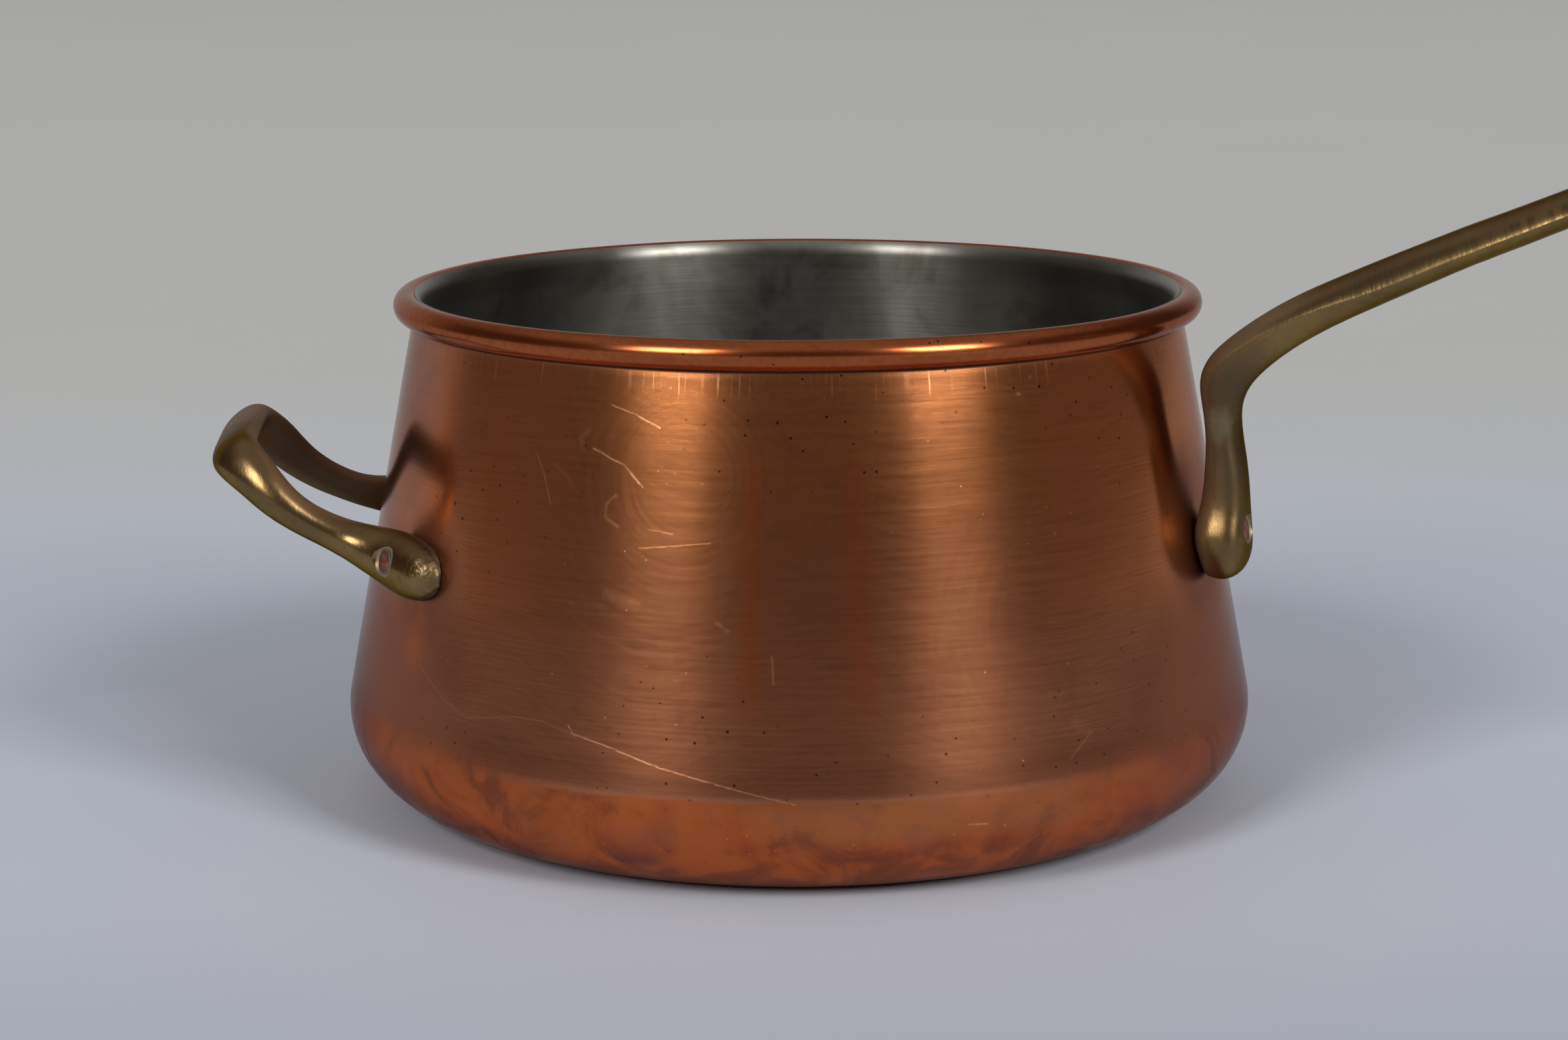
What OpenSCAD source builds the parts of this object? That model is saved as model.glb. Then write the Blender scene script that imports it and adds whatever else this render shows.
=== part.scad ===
// Copper saucepan: a spun pan that narrows towards a wired rim, tinned inside,
// with a long brass handle and a brass helper loop held by copper rivets.
// Frame: origin at the centre of the flat base, +Z up, long handle along +X.
// All lengths in millimetres.

/* [Pan] */
// Outside diameter over the rolled rim
rim_d = 200; // [190:1:210]
// Height from the table to the top of the rim
pan_h = 127; // [123:0.5:132]
// Diameter of the rolled rim
bead_d = 6.8; // [6.2:0.1:7.4]
// Lean of the wall towards the axis, in degrees
wall_lean = 10.8; // [10:0.1:11.5]
// Thickness of the copper sheet
wall_t = 1.5; // [1.2:0.05:1.6]
// Thickness of the tin lining
lining_t = 0.25; // [0.2:0.05:0.4]
// Diameter of the flat base
base_d = 174.6; // [170:0.2:178]
// Height of the rounding between base and wall
fillet_h = 23.6; // [21:0.2:26]

/* [Long handle] */
// Height of its rivet above the table
handle_z = 71.5; // [70:0.5:74]
// Reach of the stem beyond the rivet
handle_reach = 190; // [170:1:210]
// Width of the stem in its middle
stem_w = 18; // [16:0.5:21]
// Diameter of the hanging eye
eye_d = 11; // [9:0.5:12]

/* [Helper handle] */
// Direction of the helper loop round the pan, in degrees from the long handle
helper_az = 208; // [190:1:215]
// Height of its rivets above the table
helper_z = 67.6; // [66:0.2:70]
// Reach of the loop beyond its bosses
loop_reach = 36; // [33:0.5:40]
// Half angle between its two rivets, in degrees
rivet_half = 25.2; // [24.5:0.1:26]

/* [Rivets] */
// Shank diameter of the rivets
rivet_d = 5; // [4.5:0.1:5.5]
// Diameter of the countersink on the brass
sink_d = 7.4; // [7:0.1:8]
// Diameter of the heads inside the pan
head_d = 12; // [10.5:0.5:13]

/* [Hidden] */

$fn = 96;
COPPER = [0.62, 0.30, 0.17];
BRASS = [0.55, 0.46, 0.22];
TIN = [0.36, 0.36, 0.33];
IRON = [0.25, 0.24, 0.23];

// ---- pan profile, as (radius, height) -------------------------------------
m = tan(wall_lean);
sec = sqrt(1 + m * m);
bead_r = bead_d / 2;
wire_r = bead_r - wall_t;
bc = [rim_d / 2 - bead_r, pan_h - bead_r];          // centre of the roll
k_in = bc[0] + m * bc[1] - bead_r * sec;            // inner wall: r + m z = k_in
rb = base_d / 2;

// wall line at a depth d inside the outer face
function k_at(d) = k_in + (wall_t - d) * sec;
// outer radius of the wall at height z
function rw(z) = k_at(0) - m * z;
// radial half axis of the base rounding at depth d, so that it meets the wall
function fil_a(d) = sqrt(pow(k_at(d) - rb - m * fillet_h, 2) - pow(m * (fillet_h - d), 2));
// base rounding at depth d, from the base up to the wall
function fil(d, n = 22) = let (a = fil_a(d), b = fillet_h - d, e = atan2(m * b, a))
    [for (i = [0:n]) let (t = -90 + (90 + e) * i / n) [rb + a * cos(t), fillet_h + b * sin(t)]];
// arc of the roll
function roll(r, a0, a1, n) = [for (i = [0:n]) let (t = a0 + (a1 - a0) * i / n)
    [bc[0] + r * cos(t), bc[1] + r * sin(t)]];
function rev(v) = [for (i = [len(v) - 1:-1:0]) v[i]];

a_in = 180 + wall_lean;   // where the wall runs into the roll
a_end = -108;             // cut edge of the sheet, just clear of the wall
a_tin = 122;              // the tin is wiped off at the top of the roll

body_pts = concat([[0, 0]], fil(0), roll(wire_r, a_in, a_end, 44),
                  roll(bead_r, a_end, a_in, 44), rev(fil(wall_t)), [[0, wall_t]]);
tin_pts = concat([[0, wall_t]], fil(wall_t), roll(bead_r, a_in, a_tin, 10),
                 roll(bead_r + lining_t, a_tin, a_in, 10), rev(fil(wall_t + lining_t)),
                 [[0, wall_t + lining_t]]);
// everything outside the copper wall is cut back to this solid
seat_pts = concat([[0, 0]], fil(0), [[rw(pan_h + 30), pan_h + 30], [0, pan_h + 30]]);
// the room inside the lining
room_pts = concat([[0, wall_t + lining_t]], fil(wall_t + lining_t),
                  [[k_at(wall_t + lining_t) - m * 116, 116], [0, 116]]);

// ---- smooth curves --------------------------------------------------------
// point of a cubic spline guided by the rows of P, which starts and ends on
// the first and last row; u runs from 0 to len(P) - 1
function guide(P, i) = i < 0 ? 2 * P[0] - P[1]
    : i > len(P) - 1 ? 2 * P[len(P) - 1] - P[len(P) - 2] : P[i];
function spl(P, u) = let (i = min(floor(u), len(P) - 2), t = u - i)
    (pow(1 - t, 3) * guide(P, i - 1)
     + (3 * pow(t, 3) - 6 * pow(t, 2) + 4) * guide(P, i)
     + (-3 * pow(t, 3) + 3 * pow(t, 2) + 3 * t + 1) * guide(P, i + 1)
     + pow(t, 3) * guide(P, i + 2)) / 6;
function unit(v) = v / norm(v);

// ---- cross-section of the brass bars --------------------------------------
// A back that rounds off over a width e and a depth c at each edge, straight
// sides up to the height h and a crown up to the full thickness t; g = 1 makes
// the crown round, a smaller g squarer, and a larger g leaves an arris.
NC = 8;
NR = 5;
function half_bar(w, t, h, g, c, e) = concat(
    [for (i = [0:NR]) let (a = 90 * i / NR)
        [0.5 * w - e + e * sin(a), c - c * pow(cos(a), max(1, g))]],
    [for (i = [0:NC - 1]) let (a = 90 * i / NC)
        [0.5 * w * pow(cos(a), min(1, g)), h + (t - h) * pow(sin(a), g)]]);
function bar(w, t, h, g, c, e) = let (s = half_bar(w, t, h, g, min(c, h * 0.96), min(e, w * 0.46))) concat(
    [[0, 0]], s, [[0, t]], rev([for (p = s) [-p[0], p[1]]]));
NB = 2 * (NC + NR + 1) + 2;

// skin over rings of NB points each
module skin(R) {
    n = len(R);
    pts = [for (r = R) for (p = r) p];
    sides = [for (i = [0:n - 2]) for (j = [0:NB - 1]) let (k = (j + 1) % NB,
        a = i * NB + j, b = i * NB + k, c = (i + 1) * NB + k, d = (i + 1) * NB + j)
        each [[a, b, c], [a, c, d]]];
    ends = concat([for (j = [1:NB - 2]) [0, j + 1, j]],
                  [for (j = [1:NB - 2]) let (o = (n - 1) * NB) [o, o + j, o + j + 1]]);
    polyhedron(points = pts, faces = concat(sides, ends), convexity = 6);
}

// ---- long handle ----------------------------------------------------------
// Rows: back point (x, z), front point (x, z), width, side height, crown, depth
// and width of the rounding of the back.
// x is from the wall at rivet height, z from the rivet.
f = handle_reach / 190;
sw = stem_w / 18;
LH = [
    [1.9, -9.0, 3.6, -10.2, 4, 0.5, 1, 0.4, 0.6],
    [1.6, -8.2, 7.2, -10.5, 8.6, 1.8, 0.9, 1.6, 2.0],
    [1.1, -6.2, 10.6, -8.5, 13.0, 3.8, 0.76, 3.4, 3.8],
    [0.2, -3.2, 12.1, -4.5, 16.4, 5.2, 0.66, 4.8, 5.0],
    [-0.8, 1.2, 12.1, 0.8, 17.2, 5.6, 0.62, 5.2, 5.4],
    [0.5, 7.2, 11.9, 6.8, 13.8, 5.2, 0.68, 4.8, 5.0],
    [1.3, 13.4, 11.4, 13.6, 12.4, 4.6, 0.78, 4.2, 4.6],
    [1.5, 19.6, 10.6, 20.0, 12.0, 4.2, 0.88, 3.8, 4.4],
    [1.5, 25.8, 9.6, 25.6, 12.0, 3.9, 0.95, 3.2, 4.0],
    [0.7, 31.8, 9.1, 30.4, 12.8, 4.2, 1, 3.0, 4.0],
    [-0.3, 37.2, 10.2, 35.1, 14.0, 4.9, 1.1, 3.2, 4.4],
    [1.0, 42.8, 14.1, 40.1, 15.2, 5.7, 1.2, 4.0, 5.4],
    [6.6, 48.5, 20.2, 45.2, 16.0, 6.3, 1.3, 5.2, 6.4],
    [14.3, 54.2, 27.2, 49.8, 16.6, 6.6, 1.4, 6.0, 7.0],
    [24.7, 60.4, 35.4, 54.2, 17.0, 6.6, 1.45, 6.2, 7.2],
    [40.4 * f, 67.4, 44.9 * f, 58.8, 17.4 * sw, 6.6, 1.5, 6.4, 7.4],
    [56.2 * f, 74.6, 60.2 * f, 66.3, 17.6 * sw, 6.3, 1.5, 6.1, 7.5],
    [71.7 * f, 80.9, 75.5 * f, 73.0, 17.8 * sw, 6.0, 1.5, 5.8, 7.6],
    [85.1 * f, 86.5, 88.7 * f, 78.9, 18.0 * sw, 5.7, 1.5, 5.5, 7.7],
    [100.0 * f, 92.6, 103.4 * f, 85.2, 18.2 * sw, 5.4, 1.5, 5.2, 7.8],
    [114.9 * f, 98.8, 118.1 * f, 91.3, 18.6 * sw, 5.1, 1.5, 4.9, 8.0],
    [129.9 * f, 104.4, 132.9 * f, 97.2, 19.2 * sw, 4.8, 1.5, 4.6, 8.2],
    [144.9 * f, 109.8, 147.6 * f, 102.9, 20.2 * sw, 4.4, 1.45, 4.1, 8.0],
    [158.9 * f, 114.6, 161.4 * f, 108.1, 22.0 * sw, 4.1, 1.4, 3.6, 7.0],
    [169.9 * f, 118.2, 172.2 * f, 112.0, 24.4 * sw, 3.8, 1.3, 3.0, 5.0],
    [177.9 * f, 120.7, 180.0 * f, 114.8, 25.4 * sw, 3.6, 1.2, 2.6, 4.2],
    [184.5 * f, 122.8, 186.4 * f, 117.2, 23.6 * sw, 3.4, 1.1, 2.4, 4.0],
    [189.1 * f, 124.1, 190.6 * f, 119.0, 18.4 * sw, 3.0, 1, 2.0, 3.4],
    [191.5 * f, 124.4, 192.1 * f, 120.3, 8.0 * sw, 2.2, 1, 1.4, 1.8],
];
hx = rw(handle_z);
LN = 78;
function lh_ring(u) = let (q = spl(LH, u), I = [q[0], q[1]], O = [q[2], q[3]],
    t = norm(O - I), d = (O - I) / t)
    [for (p = bar(q[4], t, q[5], q[6], q[7], q[8])) [hx + I[0] + d[0] * p[1], p[0], handle_z + I[1] + d[1] * p[1]]];

// the eye sits square to the top of the stem, near its end
eye_q = spl(LH, 25);
eye_dir = unit([eye_q[2] - eye_q[0], 0, eye_q[3] - eye_q[1]]);
eye_c = [hx + eye_q[0], 0, handle_z + eye_q[1]];
eye_tilt = atan2(eye_dir[0], eye_dir[2]);

// thickness of the brass along each rivet
lh_t = 11.8;
hh_t = 8.1;

// ---- rivets ---------------------------------------------------------------
// Places a shape with its +Z square to the wall, pointing out of the pan,
// and its origin on the outer face of the wall.
module on_wall(az, z) {
    rotate([0, 0, az]) translate([rw(z), 0, z]) rotate([0, 90 - wall_lean, 0]) children();
}
sink_h = 1.3;   // depth of the countersink
fill_h = 0.55;  // how far the rivet stops below its edge
// Hole and countersink through brass of thickness t, taken from the brass
module brass_hole(t) {
    translate([0, 0, -4]) cylinder(d = rivet_d, h = t + 8);
    translate([0, 0, t - sink_h]) cylinder(d1 = rivet_d, d2 = sink_d, h = sink_h);
    translate([0, 0, t]) cylinder(d = sink_d, h = 6);
}
// A rivet through lining, wall and brass of thickness t
module rivet(az, z, t) {
    fs = (sink_h - fill_h) / sink_h;
    union() {
        on_wall(az, z) translate([0, 0, -wall_t - lining_t - 0.6])
            cylinder(d = rivet_d, h = wall_t + lining_t + 0.6 + t - sink_h);
        on_wall(az, z) translate([0, 0, t - sink_h])
            cylinder(d1 = rivet_d, d2 = rivet_d + (sink_d - rivet_d) * fs, h = sink_h - fill_h);
        intersection() {
            on_wall(az, z) translate([0, 0, -wall_t - lining_t]) rotate([180, 0, 0])
                rotate_extrude() polygon(concat([[0, -1], [head_d / 2, -1], [head_d / 2, 0.35]],
                    [for (i = [1:8]) let (a = 90 * i / 8) [head_d / 2 * cos(a), 0.35 + 1.75 * sin(a)]]));
            rotate_extrude($fn = 360) polygon(room_pts);
        }
    }
}

// ---- helper handle --------------------------------------------------------
// Rows of one half, from the tip of a boss to the middle of the loop:
// distance from the axis, distance from the middle plane, height above the
// rivets, tilt of the bar, direction of the tilt, width, thickness, side
// height, crown, depth and width of the rounding of the inner face.
g = loop_reach / 36;
hr = rw(helper_z);
function on_boss(a, dz, t) = let (r = rw(helper_z + dz) + t) [r * cos(a), r * sin(a), dz];
function boss_row(a, dz, t, w, th, h) = let (p = on_boss(a, dz, t))
    [p[0], p[1], p[2], wall_lean, a, w, th, h, 1, min(1, 0.8 * h), min(1, 0.8 * h)];
HH = [
    boss_row(rivet_half + 7.8, -1.0, 0.7, 4, 1.6, 0.4),
    boss_row(rivet_half + 7.2, -0.9, 1.4, 8.6, 3.6, 0.6),
    boss_row(rivet_half + 5.7, -0.7, 2.5, 12.2, 6.0, 0.9),
    boss_row(rivet_half + 3.1, -0.3, 3.4, 14.2, 7.8, 1.2),
    boss_row(rivet_half, 0.1, 3.8, 14.8, 8.4, 1.5),
    boss_row(rivet_half - 3.2, 1.2, 5.0, 13.8, 8.4, 1.9),
    [hr + 4.2, 36.4, 3.7, 14, 12, 9.6, 8.0, 2.2, 1, 1.6, 2.2],
    [hr + 9.8 * g, 35.6, 6.2, 21, 6, 8.2, 7.4, 2.4, 1, 2.0, 2.8],
    [hr + 16.4 * g, 35.2, 9.6, 30, 2, 8.2, 7.0, 2.4, 1, 2.2, 3.0],
    [hr + 22.4 * g, 34.6, 14.0, 38, 0, 9.4, 6.9, 2.4, 1, 2.2, 3.2],
    [hr + 27.2 * g, 31.8, 19.2, 45, 0, 11.0, 6.8, 2.4, 0.94, 2.2, 3.6],
    [hr + 32.2 * g, 26.8, 23.4, 49, 0, 12.2, 6.7, 2.4, 0.9, 2.2, 4.0],
    [hr + 33.4 * g, 20.2, 24.0, 51, 0, 12.6, 6.5, 2.4, 0.9, 2.2, 4.2],
    [hr + 33.4 * g, 10.2, 24.1, 52, 0, 12.6, 6.4, 2.4, 0.9, 2.2, 4.2],
    [hr + 33.4 * g, 0, 24.1, 52, 0, 12.6, 6.4, 2.4, 0.9, 2.2, 4.2],
];
// the other half hangs a little lower and is slimmer where it leaves its boss
sag = [0, 0, 0, 0, 0, -0.6, -1.1, -1.5, -1.7, -1.5, -1.0, -0.5, -0.2, 0, 0];
slim = [1, 1, 1, 1, 0.96, 0.76, 0.84, 0.96, 1.04, 1.06, 1.04, 1, 1, 1, 1];
function flip(q, i) = [q[0], -q[1], q[2] + sag[i], q[3], -q[4], q[5] * slim[i], q[6], q[7], q[8], q[9],
                       q[10] * slim[i]];
HP = concat(HH, [for (i = [len(HH) - 2:-1:0]) flip(HH[i], i)]);
HN = 112;
function hh_ring(u) = let (n = len(HP) - 1, q = spl(HP, u),
    q0 = spl(HP, max(u - 0.02, 0)), q1 = spl(HP, min(u + 0.02, n)),
    t = unit([q1[0] - q0[0], q1[1] - q0[1], q1[2] - q0[2]]),
    up = [-sin(q[3]) * cos(q[4]), -sin(q[3]) * sin(q[4]), cos(q[3])],
    b = unit(up - (up * t) * t), o = cross(b, t))
    [for (p = bar(q[5], q[6], q[7], q[8], q[9], q[10]))
        [q[0], q[1], helper_z + q[2]] + b * p[0] + o * (p[1] - q[6] / 2)];

// ---- sub-parts ------------------------------------------------------------
module copper_body() color(COPPER) difference() {
    rotate_extrude($fn = 360) polygon(body_pts);
    on_wall(0, handle_z) translate([0, 0, -6]) cylinder(d = rivet_d, h = 12);
    for (s = [-1, 1]) on_wall(helper_az + s * rivet_half, helper_z)
        translate([0, 0, -6]) cylinder(d = rivet_d, h = 12);
}

module rim_wire() color(IRON)
    rotate_extrude() translate(bc) circle(r = wire_r - 0.04, $fn = 48);

module tin_lining() color(TIN) difference() {
    rotate_extrude($fn = 360) polygon(tin_pts);
    on_wall(0, handle_z) translate([0, 0, -6]) cylinder(d = rivet_d, h = 12);
    for (s = [-1, 1]) on_wall(helper_az + s * rivet_half, helper_z)
        translate([0, 0, -6]) cylinder(d = rivet_d, h = 12);
}

module long_handle() color(BRASS) difference() {
    skin([for (i = [0:LN]) lh_ring((len(LH) - 1) * i / LN)]);
    rotate_extrude($fn = 360) polygon(seat_pts);
    on_wall(0, handle_z) brass_hole(lh_t);
    translate(eye_c) rotate([0, eye_tilt, 0]) translate([0, 0, -15]) cylinder(d = eye_d, h = 40);
}

module helper_handle() color(BRASS) difference() {
    rotate([0, 0, helper_az]) skin([for (i = [0:HN]) hh_ring((len(HP) - 1) * i / HN)]);
    rotate_extrude($fn = 360) polygon(seat_pts);
    for (s = [-1, 1]) on_wall(helper_az + s * rivet_half, helper_z) brass_hole(hh_t);
}

module long_handle_rivet() color(COPPER) rivet(0, handle_z, lh_t);
module helper_rivet_front() color(COPPER) rivet(helper_az + rivet_half, helper_z, hh_t);
module helper_rivet_rear() color(COPPER) rivet(helper_az - rivet_half, helper_z, hh_t);

copper_body();
rim_wire();
tin_lining();
long_handle();
helper_handle();
long_handle_rivet();
helper_rivet_front();
helper_rivet_rear();
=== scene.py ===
import math

import bpy
import numpy as np
from mathutils import Matrix, Vector, noise


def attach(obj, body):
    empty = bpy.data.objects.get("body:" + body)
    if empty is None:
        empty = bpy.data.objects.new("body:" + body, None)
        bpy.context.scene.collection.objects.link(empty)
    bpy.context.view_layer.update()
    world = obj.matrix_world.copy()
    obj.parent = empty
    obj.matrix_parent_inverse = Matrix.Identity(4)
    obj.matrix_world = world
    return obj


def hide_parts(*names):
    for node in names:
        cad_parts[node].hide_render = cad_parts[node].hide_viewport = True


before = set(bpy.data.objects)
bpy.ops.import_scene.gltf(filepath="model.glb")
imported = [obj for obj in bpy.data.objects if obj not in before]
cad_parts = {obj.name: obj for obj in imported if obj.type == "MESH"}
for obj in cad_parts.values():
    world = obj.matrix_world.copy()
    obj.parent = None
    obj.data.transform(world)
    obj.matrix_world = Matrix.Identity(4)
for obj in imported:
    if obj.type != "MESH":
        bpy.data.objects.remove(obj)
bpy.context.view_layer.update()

scene = bpy.context.scene
scene.view_settings.view_transform = "Standard"
scene.view_settings.look = "None"
MM = 0.001
rad = math.radians

# ---------------------------------------------------------------------------
# Sizes, in millimetres, as in the construction
# ---------------------------------------------------------------------------
RIM_D, PAN_H, BEAD_R, LEAN, WALL_T, LINING_T = 200.0, 127.0, 3.4, 10.8, 1.5, 0.25
RB, FILLET_H = 87.3, 23.6
HANDLE_Z, HELPER_AZ, HELPER_Z, RIVET_HALF = 71.5, 208.0, 67.6, 25.2
RIVET_D, SINK_D, HEAD_D, SINK_H, FILL_H = 5.0, 7.4, 12.0, 1.3, 0.55
LH_T, HH_T = 11.8, 8.1
FACING = -67.0      # azimuth of the side that faces the camera

m = math.tan(rad(LEAN))
sec = math.sqrt(1 + m * m)
WIRE_R = BEAD_R - WALL_T
BC = (RIM_D / 2 - BEAD_R, PAN_H - BEAD_R)
K_IN = BC[0] + m * BC[1] - BEAD_R * sec


def k_at(d):
    return K_IN + (WALL_T - d) * sec


def rw(z):
    return k_at(0) - m * z


def fil(d, n):
    a = math.sqrt((k_at(d) - RB - m * FILLET_H) ** 2 - (m * (FILLET_H - d)) ** 2)
    b = FILLET_H - d
    e = math.atan2(m * b, a)
    out = []
    for i in range(n + 1):
        t = -math.pi / 2 + (math.pi / 2 + e) * i / n
        out.append((RB + a * math.cos(t), FILLET_H + b * math.sin(t)))
    return out


def roll(r, a0, a1, n):
    return [(BC[0] + r * math.cos(rad(a0 + (a1 - a0) * i / n)),
             BC[1] + r * math.sin(rad(a0 + (a1 - a0) * i / n))) for i in range(n + 1)]


def line(p, q, n):
    return [(p[0] + (q[0] - p[0]) * i / n, p[1] + (q[1] - p[1]) * i / n) for i in range(1, n)]


A_IN, A_END, A_TIN = 180 + LEAN, -108.0, 122.0

# ---------------------------------------------------------------------------
# Mesh helpers
# ---------------------------------------------------------------------------


def make(name, verts_mm, faces, keep=True):
    me = bpy.data.meshes.new(name)
    me.from_pydata([tuple(float(c) * MM for c in v) for v in verts_mm], [], faces)
    me.validate()
    me.update()
    o = bpy.data.objects.new(name, me)
    scene.collection.objects.link(o)
    return o


def lathe(name, prof, n, wobble=None, matrix=None):
    """Closed ring of (r, z) points turned about Z; points on the axis become poles."""
    verts, first = [], []
    for r, z in prof:
        first.append(len(verts))
        if r < 1e-6:
            verts.append((0.0, 0.0, z))
        else:
            for j in range(n):
                a = 2 * math.pi * j / n
                dr, dz = wobble(a, r, z) if wobble else (0.0, 0.0)
                verts.append(((r + dr) * math.cos(a), (r + dr) * math.sin(a), z + dz))
    faces = []
    k = len(prof)
    for i in range(k):
        p, q = i, (i + 1) % k
        pole_p, pole_q = prof[p][0] < 1e-6, prof[q][0] < 1e-6
        if pole_p and pole_q:
            continue
        for j in range(n):
            jn = (j + 1) % n
            if pole_p:
                faces.append((first[p], first[q] + jn, first[q] + j))
            elif pole_q:
                faces.append((first[p] + j, first[p] + jn, first[q]))
            else:
                faces.append((first[p] + j, first[p] + jn, first[q] + jn, first[q] + j))
    if matrix is not None:
        verts = [tuple(matrix @ Vector(v)) for v in verts]
    return make(name, verts, faces)


def loft(name, rings):
    """Skin over closed rings, with a fan at each end."""
    n, k = len(rings), len(rings[0])
    verts = [tuple(p) for r in rings for p in r]
    faces = []
    for i in range(n - 1):
        for j in range(k):
            jn = (j + 1) % k
            faces.append((i * k + j, i * k + jn, (i + 1) * k + jn, (i + 1) * k + j))
    c0, c1 = len(verts), len(verts) + 1
    verts.append(tuple(np.mean(np.array(rings[0]), axis=0)))
    verts.append(tuple(np.mean(np.array(rings[-1]), axis=0)))
    for j in range(k):
        jn = (j + 1) % k
        faces.append((c0, jn, j))
        faces.append((c1, (n - 1) * k + j, (n - 1) * k + jn))
    v = np.array(verts)
    vol = 0.0
    for f in faces:
        for t in range(1, len(f) - 1):
            vol += np.dot(v[f[0]], np.cross(v[f[t]], v[f[t + 1]]))
    if vol < 0:
        faces = [tuple(reversed(f)) for f in faces]
    return make(name, verts, faces)


def cut(obj, *cutters):
    for c in cutters:
        b = obj.modifiers.new("cut", "BOOLEAN")
        b.object, b.operation, b.solver = c, "DIFFERENCE", "EXACT"
    dg = bpy.context.evaluated_depsgraph_get()
    me = bpy.data.meshes.new_from_object(obj.evaluated_get(dg))
    obj.modifiers.clear()
    old, obj.data = obj.data, me
    bpy.data.meshes.remove(old)
    for c in cutters:
        bpy.data.objects.remove(c)


def smooth(obj, angle=32.0):
    """Smooth shading, with edges sharper than angle kept sharp."""
    import bmesh
    bm = bmesh.new()
    bm.from_mesh(obj.data)
    bmesh.ops.remove_doubles(bm, verts=bm.verts, dist=2e-7)
    bmesh.ops.dissolve_degenerate(bm, edges=bm.edges, dist=1e-7)
    for f in bm.faces:
        f.smooth = True
    lim = rad(angle)
    for e in bm.edges:
        e.smooth = not (len(e.link_faces) == 2 and e.calc_face_angle(0.0) > lim)
    bm.to_mesh(obj.data)
    bm.free()
    obj.data.update()


def nz(x, y, z, s):
    return noise.noise(Vector((x * s, y * s, z * s)))


def on_wall(az, z):
    """Matrix, in mm, of a frame on the outer wall with +Z out of the pan."""
    return (Matrix.Rotation(rad(az), 4, "Z") @ Matrix.Translation((rw(z), 0, z))
            @ Matrix.Rotation(rad(90 - LEAN), 4, "Y"))


# ---------------------------------------------------------------------------
# The pan: copper and tin
# ---------------------------------------------------------------------------


def pan_wobble(a, r, z):
    """Hand work: the wall and the roll are a few hundredths out of true."""
    if r < 60:
        return 0.0, 0.0
    x, y = math.cos(a), math.sin(a)
    d = 0.05 * noise.noise(Vector((x * 3.1, y * 3.1, z * 0.02))) - 0.06
    d += 0.025 * noise.noise(Vector((x * 9 + 5, y * 9, z * 0.06)))
    if z > 106 and r < 100:
        d -= 0.07 * min(1.0, (z - 106) / 14) ** 2       # the wall turns in a little towards the roll
    dz = 0.0
    if z > 117:
        dz = 0.07 * noise.noise(Vector((x * 2.6 + 9, y * 2.6, 0.3)))
    return (d if z > 3 else 0.0), dz


f_out, f_in = fil(0, 30), fil(WALL_T, 30)
w_top = roll(WIRE_R, A_IN, A_END, 14)
b_out = roll(BEAD_R, A_END, A_IN, 52)
body_prof = ([(0, 0)] + [(RB * i / 8, 0) for i in range(1, 8)] + f_out + line(f_out[-1], w_top[0], 26)
             + w_top + b_out + line(b_out[-1], f_in[-1], 26) + f_in[::-1]
             + [(RB * i / 8, WALL_T) for i in range(7, 0, -1)] + [(0, WALL_T)])
pan = lathe("pan_copper", body_prof, 384, pan_wobble)

t_in = fil(WALL_T + LINING_T, 30)
t_roll_a = roll(BEAD_R + 0.005, A_IN, A_TIN, 14)
t_roll_b = roll(BEAD_R + LINING_T, A_TIN, A_IN, 14)
tin_prof = ([(0, WALL_T + 0.005)] + [(RB * i / 8, WALL_T + 0.005) for i in range(1, 8)]
            + [(r - 0.004, z + 0.002) for r, z in f_in] + line(f_in[-1], t_roll_a[0], 26)
            + t_roll_a + t_roll_b + line(t_roll_b[-1], t_in[-1], 26) + t_in[::-1]
            + [(RB * i / 8, WALL_T + LINING_T) for i in range(7, 0, -1)] + [(0, WALL_T + LINING_T)])
tin = lathe("pan_tin", tin_prof, 384, pan_wobble)
smooth(pan, 40)
smooth(tin, 60)

# ---------------------------------------------------------------------------
# The brass handles
# ---------------------------------------------------------------------------


def spl(P, u):
    n = len(P)

    def g(i):
        return 2 * P[0] - P[1] if i < 0 else (2 * P[n - 1] - P[n - 2] if i > n - 1 else P[i])
    i = min(int(math.floor(u)), n - 2)
    t = u - i
    return ((1 - t) ** 3 * g(i - 1) + (3 * t ** 3 - 6 * t * t + 4) * g(i)
            + (-3 * t ** 3 + 3 * t * t + 3 * t + 1) * g(i + 1) + t ** 3 * g(i + 2)) / 6


NCROWN, NROUND, NFLAT = 22, 10, 3


def half_bar(w, t, h, g, c, e):
    """Half of a bar's section: rounded inner face, side, crown."""
    pts = [((0.5 * w - e) * i / NFLAT, 0.0) for i in range(1, NFLAT)]
    for i in range(NROUND + 1):
        a = 0.5 * math.pi * i / NROUND
        pts.append((0.5 * w - e + e * math.sin(a), c - c * max(0.0, math.cos(a)) ** max(1, g)))
    for i in range(NCROWN):
        x = i / NCROWN
        x = x ** 1.5 / (x ** 1.5 + (1 - x) ** 1.5)
        a = 0.5 * math.pi * x
        pts.append((0.5 * w * math.cos(a) ** min(1, g), h + (t - h) * math.sin(a) ** g))
    return pts


def bar(w, t, h, g, c, e):
    s = half_bar(w, t, h, g, min(c, h * 0.96), min(e, w * 0.46))
    return [(0.0, 0.0)] + s + [(0.0, t)] + [(-x, y) for x, y in reversed(s)]


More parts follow.
